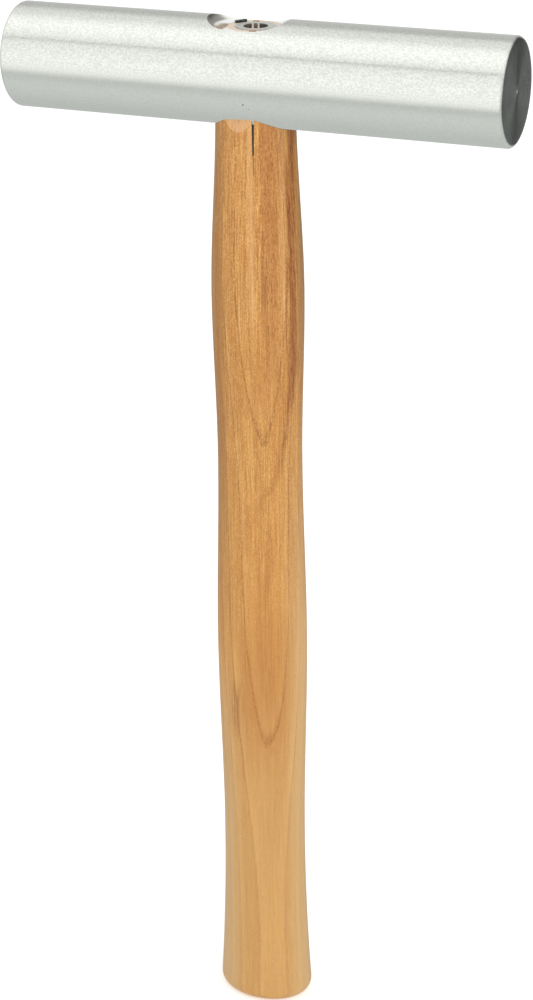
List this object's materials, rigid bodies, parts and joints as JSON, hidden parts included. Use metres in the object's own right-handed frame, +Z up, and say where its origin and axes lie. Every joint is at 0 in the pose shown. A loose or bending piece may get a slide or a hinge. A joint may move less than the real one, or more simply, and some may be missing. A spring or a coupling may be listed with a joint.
{
  "type": "soft-metal hand hammer",
  "caption": "Hand hammer with a solid round aluminium bar head, wedged across the top of an oval hickory handle with a palm swell.",
  "frame": {"origin": "middle of the butt's plane, straight below the middle of the bar", "axes": "+Z up the handle to the head, +X along the bar, +Y across it"},
  "size_m": [0.148, 0.03, 0.32],
  "materials": {
    "turned_aluminium": "bare aluminium, turned and lightly brushed, satin",
    "hickory": "hickory under a thin clear satin lacquer",
    "wedge_wood": "bare hardwood, end grain",
    "wedge_steel": "plain steel, dull, rough from the press"
  },
  "bodies": {
    "root": {"head": "turned_aluminium", "handle": "hickory", "cross_wedge": "wedge_wood", "ring_wedge": "wedge_steel", "flat_wedge": "wedge_steel"}
  },
  "joints": []
}
